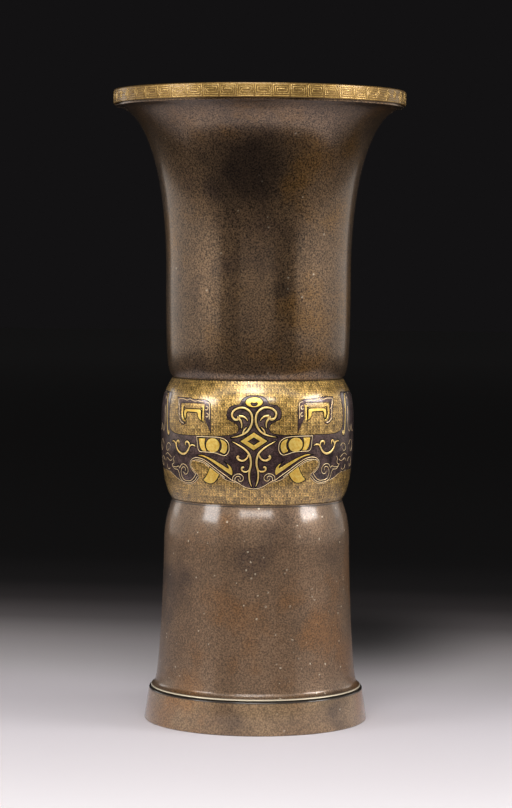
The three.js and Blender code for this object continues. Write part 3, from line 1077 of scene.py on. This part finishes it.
def flat_plate(
    outline, holes=(), sign=1, rise=PLATE_RISE, edge=PLATE_EDGE, grow=0, strip=PLATE_STRIP
):
    """A thin plate with eased edges, cut in strips across and up so that it can bend."""
    bpy.ops.object.select_all(action="DESELECT")
    bpy.ops.curve.primitive_bezier_circle_add()
    curve = bpy.context.object
    curve.data.dimensions = "2D"
    curve.data.fill_mode = "BOTH"
    curve.data.splines.clear()
    for ring in (outline, *holes):
        spline = curve.data.splines.new("POLY")
        spline.points.add(len(ring) - 1)
        spline.use_cyclic_u = True
        for point, (across, up) in zip(spline.points, ring):
            point.co = (sign * across * MM, up * MM, 0, 1)
    curve.data.extrude = rise * MM
    curve.data.bevel_depth = edge * MM
    curve.data.offset = (grow - edge) * MM
    bpy.ops.object.convert(target="MESH")
    piece = cleaned(bpy.context.object)
    bpy.ops.object.mode_set(mode="EDIT")
    for axis in (0, 1):
        normal = Vector((1 - axis, axis, 0))
        reaches = [(sign * x if axis == 0 else y) for x, y in outline]
        place = (math.floor(min(reaches) / strip) + 1) * strip
        while place < max(reaches):
            bpy.ops.mesh.select_all(action="SELECT")
            bpy.ops.mesh.bisect(plane_co=normal * place * MM, plane_no=normal)
            place += strip
    bpy.ops.object.mode_set(mode="OBJECT")
    return piece


def joined(name, pieces):
    """Several flat shapes as one piece."""
    bpy.ops.object.select_all(action="DESELECT")
    for piece in pieces:
        piece.select_set(True)
    bpy.context.view_layer.objects.active = pieces[0]
    if len(pieces) > 1:
        bpy.ops.object.join()
    pieces[0].name = name
    return pieces[0]


# %% Outline helpers
def ellipse(centre, half_width, half_height, count=48):
    """An oval outline round its centre."""
    turns = [2 * math.pi * i / count for i in range(count)]
    return [(centre[0] + half_width * math.cos(t), centre[1] + half_height * math.sin(t)) for t in turns]


def smooth(corners, steps=6, closed=True):
    """A rounded outline through its corners, as a Catmull-Rom curve."""
    count = len(corners)
    points = []
    for i in range(count if closed else count - 1):
        if closed:
            a, b, c, d = (corners[(i + k) % count] for k in (-1, 0, 1, 2))
        else:
            a, b, c, d = (corners[min(max(i + k, 0), count - 1)] for k in (-1, 0, 1, 2))
        for j in range(steps):
            t = j / steps
            weights = (
                -0.5 * t + t**2 - 0.5 * t**3,
                1 - 2.5 * t**2 + 1.5 * t**3,
                0.5 * t + 2 * t**2 - 1.5 * t**3,
                -0.5 * t**2 + 0.5 * t**3,
            )
            points.append(tuple(sum(w * p[k] for w, p in zip(weights, (a, b, c, d))) for k in (0, 1)))
    return points if closed else [*points, corners[-1]]


# %% [markdown]
# ## The mask's dark ground
# The beast is drawn on bare bronze that the fret field leaves free: a crest in the middle, a long band
# behind the eyes and ears, and the zone at each side where the two masks meet. It is a thin plate for each
# mask, reaching a quarter turn either way. A slightly larger black plate under it shows as the cut line
# along its edge. The outline is drawn for the right half, from the crown round to the chin, and mirrored.

# %% Mask ground
CROWN_KNOTS = [
    *[(0, 47.3), (2.4, 47.2), (4.5, 46.4), (5.8, 45.1), (6.5, 43.6)],
    *[(8.4, 43.3), (10.4, 42.6), (11.7, 41), (12, 38.8)],
]
CROWN_NECK = [(11.6, 37), (9.4, 35.9), (7.7, 35), (6.7, 33.5), (7, 31.9), (8.4, 30.9), (10.9, 30.4)]
JAW_KNOTS = [
    *[(47, 12.9), (44, 11.9), (41, 10.6), (37.8, 9.5)],
    *[(34.6, 8.5), (31.6, 8.5), (28.6, 9.5), (26, 11.7)],
]
jaw_edge = [
    (52, 13.3),
    *smooth(JAW_KNOTS, 4, False),
    *smooth([(26.6, 13), (28.6, 14.5), (30, 16.1), (30.2, 17.6), (29.2, 18.8), (27.6, 19)], 4, False),
    *smooth([(25, 18.6), (23, 18.1), (19.4, 15.9), (15.2, 13.1), (12.4, 11.1), (9.6, 10.2)], 4, False),
    *smooth([(8.7, 10.1), (7.2, 9.6), (5.1, 8.3), (2.8, 7.3), (0, 6.9)], 4, False),
]
half_ground = [
    *smooth(CROWN_KNOTS, 4, False),
    *smooth(CROWN_NECK, 4, False),
    (14.2, 30.1),
    (28, 29.9),
    *smooth([(36, 29.9), (41.5, 30.3), (44.9, 31.5), (46.4, 33.8)], 4, False),
    (46.4, 46.2),
    (47.4, 47.6),
    (QUARTER + 0.05, 47.6),
    (QUARTER + 0.05, 13.4),
    *jaw_edge,
]


def mirrored(outline):
    """An outline's other half, walked the other way so that the two halves join up."""
    return [(-across, up) for across, up in reversed(outline)]


MASKS = {"front": 0.0, "back": math.pi}

# Name, material, rise above the waist's face and how far the plate reaches past its outline.
GROUND_PLATES = (
    ("edge", black_bronze, 0.02, 0),
    ("ground", mask_bronze, 0.06, -0.3),
)
GROUND_EDGE = 0.02
GROUND_STRIP = 1.3
for side, turn in MASKS.items():
    whole = [*half_ground, *mirrored(half_ground)[1:-1]]
    for name, material, rise, grow in GROUND_PLATES:
        ground = flat_plate(whole, rise=rise, edge=GROUND_EDGE, grow=grow, strip=GROUND_STRIP)
        ground.name = f"{side}_mask_{name}"
        bent_round_waist(ground, turn)
        bpy.ops.object.shade_smooth_by_angle(angle=SECTION_CREASE)
        finished(ground, material, "gilded_bronze")

# %% [markdown]
# ## The mask in gold
# Each inlay of the frame is drawn again with its full curves, placed on the squared drawing: across, up
# and, for wires, the half width at each knot. Each inlay lies in a black seat that is cut a little wider
# than itself, so the gold keeps a sharp dark outline, as real inlay does.

# %% Wires and plates of the mask
WIRES = {
    "crest_scroll": [
        [
            (10.2, 29.2, 0.1),
            (6, 30.1, 0.34),
            (3.4, 31.4, 0.42),
            (1.8, 33.2, 0.45),
            (0.9, 35.4, 0.45),
            (0.8, 37.7, 0.45),
            (1.35, 39.7, 0.45),
            (2.75, 41.2, 0.45),
            (4.8, 42, 0.45),
            (6.9, 41.8, 0.45),
            (8.6, 40.9, 0.45),
            (9.5, 39.3, 0.45),
            (9.1, 37.8, 0.45),
            (7.9, 36.9, 0.48),
            (6.8, 37.3, 0.55),
            (6.5, 38.2, 0.75),
        ],
        [(6.4, 38.4, 0.6), (4.8, 38.3, 0.4), (3.5, 37.6, 0.32), (2.8, 36.7, 0.22), (2.5, 36.1, 0.08)],
        [(6.5, 37.5, 0.5), (5.5, 36.1, 0.4), (5.2, 34.3, 0.28), (5.5, 32.8, 0.08)],
        [(4.7, 30.8, 0.36), (4.4, 32.1, 0.34), (3.5, 33.3, 0.24), (2.9, 34, 0.08)],
    ],
    "nose_scroll": [
        [
            (9.8, 27.8, 0.1),
            (7.1, 26.4, 0.3),
            (4.7, 24.9, 0.38),
            (2.9, 23.4, 0.44),
            (1.8, 21.7, 0.46),
            (1.25, 19.5, 0.46),
            (1.3, 17.2, 0.46),
            (1.8, 15.2, 0.44),
            (2, 12.8, 0.4),
            (1.6, 10.1, 0.32),
            (0.7, 7.8, 0.1),
        ],
        [
            *[(2.1, 22.2, 0.28), (3, 20.4, 0.38), (4.7, 19.4, 0.42)],
            *[(6.3, 19.8, 0.46), (7, 20.8, 0.5), (6.4, 21.4, 0.55)],
        ],
        [
            *[(1.8, 15.5, 0.28), (3.4, 14.6, 0.34), (4.9, 15.1, 0.38)],
            *[(5.2, 16.1, 0.42), (4.6, 16.6, 0.42), (4.1, 16.3, 0.2)],
        ],
    ],
    "ear_scroll": [
        [
            (43.7, 26.1, 0.1),
            (42.4, 26.6, 0.26),
            (41.1, 26.3, 0.36),
            (40.1, 25.4, 0.42),
            (39.6, 24.1, 0.44),
            (38.6, 22.8, 0.46),
            (36.8, 21.8, 0.48),
            (34.9, 21.4, 0.5),
            (33.1, 21.9, 0.48),
            (31.8, 23, 0.46),
            (31, 24.3, 0.42),
            (30.3, 25.2, 0.38),
            (29.2, 25.6, 0.34),
            (28.1, 25.5, 0.26),
            (26.9, 24.9, 0.08),
        ],
        [(30.7, 25.1, 0.36), (31.1, 26.4, 0.42), (32.3, 26.9, 0.46), (33.2, 26.3, 0.4), (33, 25.2, 0.14)],
        [(39.8, 25.2, 0.36), (39.3, 26.4, 0.42), (38.4, 27, 0.44), (37.8, 26.5, 0.38), (37.7, 25.3, 0.14)],
    ],
    "flank_hook": [
        [
            (52.6, 46.4, 0.2),
            (51.2, 46.5, 0.28),
            (50.4, 44.6, 0.36),
            (49.2, 40, 0.38),
            (48.6, 35, 0.38),
            (48.3, 31.6, 0.38),
            (47.9, 29.9, 0.42),
            (47.1, 29.3, 0.52),
            (46.7, 29.9, 0.55),
            (46.9, 31, 0.22),
        ],
    ],
}

PUPIL = (18.3, 25.85)

PLATES = {
    "pupil": ellipse(PUPIL, 3.25, 3.05),
    "eye_corner_outer": [
        (22, 28.7),
        (25.3, 28.6),
        *smooth([(25, 26.4), (24.4, 24.6), (23.2, 23.4), (21.4, 23.3)], 4, False),
        *smooth([(22.1, 24.8), (22.4, 26.4)], 4, False),
    ],
    "eye_corner_inner": [
        *smooth(
            [(14.8, 28.5), (12.9, 27.8), (11.8, 26.5), (11.6, 24.8), (12.1, 23.1), (12.9, 22.3)],
            4,
            False,
        ),
        *smooth([(14.9, 23.2), (14.1, 24.7), (14, 26.5)], 4, False),
    ],
    "jaw_bar": [
        *smooth(
            [(25.8, 21.3), (23.5, 21.5), (21, 20.8), (18.4, 19.8), (15.9, 18.5), (13.3, 17.1)],
            5,
            False,
        ),
        *smooth([(11.1, 15.8), (10.9, 16.7), (11.9, 18.1)], 4, False),
        *smooth([(10.8, 17.4), (9.9, 16.4), (9.4, 14.9), (9.4, 13.7)], 4, False),
        *smooth([(9.8, 13.1), (12.1, 14.6), (15, 16.5), (18, 18.4), (21, 20.1), (23.4, 20.9)], 5, False),
    ],
    "fang": [
        (19.8, 16.2),
        (15.6, 13.3),
        *smooth([(16.5, 11.7), (18, 10.1), (19.9, 9.4), (21.8, 9.7), (23.6, 10.7)], 5, False),
        *smooth([(22.2, 12.1), (21, 13.8), (20.3, 15.3)], 4, False),
    ],
    "horn": [
        (24, 36.3),
        (24.4, 38.2),
        (24.5, 40.4),
        (25.1, 41),
        (29, 41),
        (33.2, 40.9),
        (34.1, 40.3),
        (34.2, 38.4),
        (33.4, 36.7),
        (32.9, 37.8),
        (32.9, 39.2),
        (32.3, 39.9),
        (29, 39.9),
        (26.5, 39.8),
        (26, 39.1),
        (25.9, 38),
        (25.2, 37),
    ],
}

CROWN = (
    ellipse((0, 44.3), 3.7, 2.05),
    smooth(
        [
            *[(-1.6, 43.6), (-1.1, 44.3), (0, 44), (1.1, 44.3)],
            *[(1.6, 43.6), (0.9, 42.8), (0, 42.6), (-0.9, 42.8)],
        ],
        3,
    ),
)
BROW = (
    [(5.7, 27.7), (0, 31.4), (-5.7, 27.7), (0, 23.9)],
    [(2.7, 27.7), (0, 29.4), (-2.7, 27.7), (0, 25.9)],
)

# %% Inlays in their seats
SEAT_LINE = 0.42
SEAT_RISE = 0.07
SEAT_LIFT = 0.1
SEAT_EDGE = 0.03
SEAT_FLATTENING = 0.03
LINE_CREASE = math.radians(50)


def seat_inlay(piece, name, turn, gold=inlaid_gold):
    """Bends an inlay onto the waist, where it stands for the frame's plain one."""
    bent_round_waist(piece, turn)
    bpy.ops.object.shade_smooth_by_angle(angle=LINE_CREASE)
    finished(piece, gold, "gold_inlay", name)


for side, turn in MASKS.items():
    seats = []
    for name, (outline, opening) in (("crown_ring", CROWN), ("brow_diamond", BROW)):
        plate = flat_plate(outline, [opening])
        plate.name = f"{side}_{name}_gold"
        seat_inlay(plate, f"{side}_{name}", turn)
        seats.append(
            flat_plate(outline, [opening], rise=SEAT_RISE, edge=SEAT_EDGE, grow=SEAT_LINE)
        )
    for hand, sign in (("right", 1), ("left", -1)):
        for name, strokes in WIRES.items():
            wires = joined(f"{side}_{name}_{hand}_gold", [flat_wire(knots, sign) for knots in strokes])
            seat_inlay(wires, f"{side}_{name}_{hand}", turn, wire_gold)
            for knots in strokes:
                seats.append(
                    flat_wire(
                        knots, sign, lift=SEAT_LIFT, grow=SEAT_LINE, flattening=SEAT_FLATTENING
                    )
                )
        for name, outline in PLATES.items():
            plate = flat_plate(outline, sign=sign)
            plate.name = f"{side}_{name}_{hand}_gold"
            seat_inlay(plate, f"{side}_{name}_{hand}", turn)
            seats.append(
                flat_plate(outline, sign=sign, rise=SEAT_RISE, edge=SEAT_EDGE, grow=SEAT_LINE)
            )
    seat = joined(f"{side}_inlay_seats", seats)
    bent_round_waist(seat, turn)
    finished(seat, black_bronze, "gilded_bronze")

# %% [markdown]
# ## Hair wires and the horns' frames
# Round the eyes, under the jaw and in the cheeks runs a much thinner wire, each in a black cut of its own,
# and one more hair follows the lower edge of the dark ground. The horns stand in frames: a plate of the
# dark ground in a black cut, with hair scrolls on it, and inside it a flat gold band and a black line of
# painted shadow round the horn. All are drawn with the same wire and plate tools, only finer.

# %% Fine lines of the mask
HAIR = 0.14
HAIR_SEAT = 0.4
HAIR_LIFT = 0.13
STRAIGHT_HAIR = 1.3 * HAIR
EDGE_HAIR = 0.1
EDGE_HAIR_LIFT = 0.06

CURVED_HAIRS = {
    "eye_rim": [
        (26.6, 29.4),
        (23.5, 29.4),
        (19.3, 29.4),
        (15.3, 29.2),
        (12.7, 28.5),
        (11.2, 27.1),
        (10.7, 25.1),
        (11, 23),
        (12.5, 21.6),
        (14.3, 21.8),
        (16.6, 22.5),
        (19.5, 22.8),
        (22.7, 22.9),
        (25.1, 23.2),
        (25.9, 24.6),
        (26.2, 26.8),
        (26.6, 29.4),
    ],
    "jaw_line_upper": [
        (9.3, 10.7),
        (12.2, 12.8),
        (15.5, 15),
        (18.5, 17.1),
        (20.9, 18.6),
        (23.2, 19.7),
        (25.6, 20.2),
        (27.8, 20.1),
        (29.5, 19.3),
        (30.6, 17.8),
        (30.4, 16),
        (29, 14.2),
        (27.6, 13.2),
    ],
    "jaw_line_lower": [
        (13, 12.1),
        (15.4, 13.8),
        (17.5, 15.3),
        (19.4, 16.6),
        (21.5, 18),
        (23.2, 18.9),
        (25.2, 19.3),
        (27.6, 19.2),
    ],
    "cheek_spiral": [
        (27.6, 13.2),
        (29.1, 11.4),
        (31.2, 10.1),
        (33.6, 9.9),
        (35.7, 10.4),
        (36.9, 12),
        (37, 13.8),
        (36, 15.4),
        (34.6, 15.8),
        (33.8, 15.1),
        (34, 14.2),
    ],
    "cheek_spiral_ring": [
        (37.6, 15.4),
        (36.2, 16.8),
        (34.1, 16.9),
        (32.5, 15.7),
        (32.2, 14.2),
        (33.2, 12.9),
        (34.6, 12.8),
        (35.3, 13.7),
    ],
    "cheek_spiral_outer": [
        (26.8, 12.2),
        (28.8, 10.2),
        (31.6, 9.1),
        (34.6, 9.1),
        (37.3, 9.9),
        (38.4, 11.4),
        (38.7, 12.9),
        (39.5, 14.1),
        (42.2, 14.5),
        (43.7, 15.6),
        (44.3, 16.4),
    ],
    "cheek_flame": [(38, 14.9), (38.5, 15.8), (40.3, 15.4), (42.8, 15.3)],
    "nostril": [
        (9.3, 10.9),
        (9.2, 12.2),
        (8.2, 13.3),
        (6.5, 13.7),
        (5, 13),
        (4.5, 11.8),
        (5.2, 10.7),
        (6.5, 10.7),
        (6.9, 11.5),
    ],
    "nostril_inner": [(8.3, 10.6), (8.1, 12), (6.9, 12.7), (6, 12.3), (5.9, 11.5)],
    "chin": [(0, 7.2), (2.8, 7.6), (5, 8.6), (7, 9.9), (8.6, 10.6), (9.6, 10.8)],
    "cloud_upper": [(44.5, 24.4), (46.4, 25.4), (48.6, 24.8), (49.4, 23), (47.8, 22), (46.6, 23)],
    "cloud_middle": [(44.6, 19.4), (46.2, 20.3), (48.6, 20.9), (51, 20)],
    "cloud_stem": [(41.6, 20), (42.6, 18.6), (42.3, 17.3), (44.2, 16.2)],
    "cloud_lower": [(43.8, 18.6), (45, 17.9), (47, 18), (49, 18.8), (50.4, 17.6)],
    "cloud_foot": [(46.6, 14.5), (47.9, 13.9), (49.6, 14.6), (50, 16)],
    "cloud_outer": [(53, 24.6), (55.6, 26.4), (58.4, 25), (58.2, 22.4), (56, 21.8), (55.2, 23.2)],
    "cloud_outer_lower": [(52.4, 17.4), (55, 19), (58, 17.6), (58, 15.4), (56, 15), (55.4, 16.2)],
}

STRAIGHT_HAIRS = {
    "frame_wave": [
        (23.4, 44.2),
        (24.6, 44.4),
        (26.6, 44.7),
        (28.2, 44.4),
        (29.9, 44.8),
        (31.3, 45.3),
        (33.2, 44.7),
        (35.8, 45.2),
        (38.6, 45.1),
        (39.4, 44.8),
        (38.4, 42.6),
        (38, 41.2),
        (37.3, 40.9),
        (37.9, 40.3),
        (37.8, 38.7),
        (37.2, 38.2),
        (37.8, 37.7),
        (37.4, 36.4),
        (35.9, 35.1),
        (34.4, 34.7),
    ],
    "frame_post": [(22, 44.1), (20.5, 43.8), (20.1, 42.8), (20, 36.9)],
    "frame_upper_curl": [(22, 42.2), (21.4, 42.5), (20.8, 41.9), (21, 41), (21.7, 40.8), (22, 41.2)],
    "frame_lower_curl": [(21.5, 39.5), (20.9, 39.4), (20.5, 38.8), (20.8, 38), (21.4, 37.9), (21.7, 38.3)],
    "flank_outer": [
        *[(53.4, 45.4), (52, 40), (51.6, 34), (52.4, 31.2)],
        *[(54, 30.2), (55.4, 31.2), (54.8, 32.6)],
    ],
    "flank_far": [(57, 47), (57, 32.6), (58.4, 30.4), (60.4, 30.4)],
}

# %% Frames of the horns
HORN_BAND = [(23.3, 36.2), (23.3, 42.3), (35.7, 42.4), (35.8, 39), (35.2, 36.8), (33.4, 35.8)]
HORN_SHADOW = [(23.9, 35.9), (23.9, 41.6), (34.6, 41.6), (34.8, 38.3), (33.9, 36.2)]
HORN_FRAME = [
    (40.6, 45.9),
    (39.2, 42),
    (38.5, 38.4),
    (38.2, 36),
    (36.8, 34.6),
    (34.8, 33.9),
    (33.3, 34.5),
    (33.2, 35.2),
    (34.5, 35.3),
    (35.8, 36.3),
    (36.5, 37.6),
    (36.7, 40),
    (36.9, 42.8),
    (36.4, 43.2),
    (32, 43.5),
    (23.4, 43.5),
    (22.6, 43),
    (22.5, 36.5),
    (19.7, 36.3),
    (19.5, 30.8),
    (19.1, 30.8),
    (19.3, 40.6),
    (19.8, 43.6),
    (20.8, 44.7),
    (22.9, 45.3),
    (27.6, 45.4),
    (30, 45.5),
    (31.4, 45.9),
]
HORN_BAND_HALF_WIDTH = 0.36
HORN_BAND_LIFT = 0.02
HORN_SHADOW_HALF_WIDTH = 0.3
FRAME_CUT_RISE = 0.02
FRAME_RISE = 0.04
FRAME_CUT_LINE = 0.22


def seat_lines(pieces, name, material, turn, slot="gold_inlay"):
    """Joins fine lines, bends them onto the waist and finishes them."""
    piece = joined(name, pieces)
    bent_round_waist(piece, turn)
    bpy.ops.object.shade_smooth_by_angle(angle=LINE_CREASE)
    finished(piece, material, slot)


for side, turn in MASKS.items():
    hairs = []
    cuts_and_shadow = []
    bands = []
    fills = []
    for sign in (1, -1):
        for knots in CURVED_HAIRS.values():
            hairs.append(flat_wire([(*knot, HAIR) for knot in knots], sign, lift=HAIR_LIFT))
            seat = [(*knot, HAIR_SEAT) for knot in knots]
            cuts_and_shadow.append(flat_wire(seat, sign, lift=SEAT_LIFT, flattening=SEAT_FLATTENING))
        for corners in STRAIGHT_HAIRS.values():
            hairs.append(flat_line(corners, STRAIGHT_HAIR, sign, lift=HAIR_LIFT))
        hairs.append(flat_line(jaw_edge[:-1], EDGE_HAIR, sign, lift=EDGE_HAIR_LIFT))
        cuts_and_shadow.append(flat_plate(HORN_FRAME, sign=sign, rise=FRAME_CUT_RISE, edge=SEAT_EDGE))
        fills.append(
            flat_plate(HORN_FRAME, sign=sign, rise=FRAME_RISE, edge=SEAT_EDGE, grow=-FRAME_CUT_LINE)
        )
        # A black line of painted shadow round the horn, joined with the cut lines.
        cuts_and_shadow.append(
            flat_line(
                HORN_SHADOW,
                HORN_SHADOW_HALF_WIDTH,
                sign,
                lift=SEAT_LIFT,
                flattening=SEAT_FLATTENING,
            )
        )
        bands.append(flat_line(HORN_BAND, HORN_BAND_HALF_WIDTH, sign, lift=HORN_BAND_LIFT))
    seat_lines(hairs, f"{side}_hair_wires", hair_gold, turn)
    seat_lines(cuts_and_shadow, f"{side}_cut_lines_and_shadow", black_bronze, turn, "gilded_bronze")
    seat_lines(bands, f"{side}_horn_bands", inlaid_gold, turn)
    seat_lines(fills, f"{side}_horn_frames", mask_bronze, turn, "gilded_bronze")

# %% [markdown]
# ## Lip band
# The gold band round the lip carries the thunder pattern large enough to see: squared spirals of wire in
# pairs that face each other. One pair is modelled, repeated along a straight strip, and the strip is then
# rolled into a ring.

# %% Lip band
LIP_PAIRS = 27
LIP_HEIGHT = lip_high.z - lip_low.z
FACE_INSET = 0.12
FRET_INSET = 0.17
FRET_WIRE = 0.3
FRET_PITCH = 0.86
FRET_FOOT = 0.55
FRET_MARGINS = 1.5


def lip_band():
    height = LIP_HEIGHT
    face = LIP_RADIUS - FACE_INSET
    section = [
        (LIP_RADIUS - LIP_GOLD, 0),
        (face - 0.2, 0),
        (face, 0.2),
        *bezier(6, (face, height - 0.7), (face, height - 0.2), (face - 0.2, height), (face - 0.7, height)),
        (LIP_RADIUS - LIP_GOLD, height),
    ]
    return turned("turned_lip_band", section, LIP_BASE)


def square_spiral(width, height, pitch):
    """Corners of a rectangular spiral from its outer corner to its middle."""
    left, bottom, right, top = 0, 0, width, height
    corners = [(left, bottom), (right, bottom), (right, top), (left, top)]
    while right - left > 2 * pitch and top - bottom > 2 * pitch:
        bottom += pitch
        corners.append((left, bottom))
        right -= pitch
        corners.append((right, bottom))
        top -= pitch
        corners.append((right, top))
        left += pitch
        corners.append((left, top))
    return corners


def lip_fret():
    """Spirals drawn flat in pairs, repeated in a strip and rolled round the lip."""
    girth = 2 * math.pi * LIP_RADIUS
    pair = girth / LIP_PAIRS
    width = pair / 2 - FRET_PITCH
    height = LIP_HEIGHT - FRET_MARGINS
    wires = []
    for start, sign in ((FRET_PITCH / 2, 1), (pair - FRET_PITCH / 2, -1)):
        spiral = square_spiral(width, height, FRET_PITCH)
        knots = [(start + sign * across, FRET_FOOT + up, FRET_WIRE) for across, up in spiral]
        wires.append(flat_wire(knots, 1, "VECTOR"))
    strip = joined("lip_fret", wires)
    bpy.ops.object.modifier_add(type="ARRAY")
    array = strip.modifiers[-1]
    array.count = LIP_PAIRS
    array.use_relative_offset = False
    array.use_constant_offset = True
    array.constant_offset_displace = (pair * MM, 0, 0)
    bpy.ops.object.modifier_apply(modifier=array.name)
    for vertex in strip.data.vertices:
        across, up, rise = vertex.co / MM
        reach = LIP_RADIUS - FRET_INSET + rise
        angle = across / LIP_RADIUS
        vertex.co = (reach * math.sin(angle) * MM, -reach * math.cos(angle) * MM, (LIP_BASE + up) * MM)
    bpy.ops.object.shade_smooth_by_angle(angle=LINE_CREASE)
    return strip


finished(lip_band(), lip_ground, "sheet_gold", "lip_band")
finished(lip_fret(), lip_gold, "sheet_gold")

# %% [markdown]
# ## Vessel floor
# A plate closes the vessel deep inside, where little light falls. The frame's own plate has the right
# shape, so it stays as it is and gets the dark finish of bronze that nobody polished.

# %% Vessel floor
floor_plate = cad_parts["vessel_floor"]
floor_plate.data.materials.clear()
floor_plate.data.materials.append(inner_bronze)
print(f"{floor_plate.name}: {inner_bronze.name}")
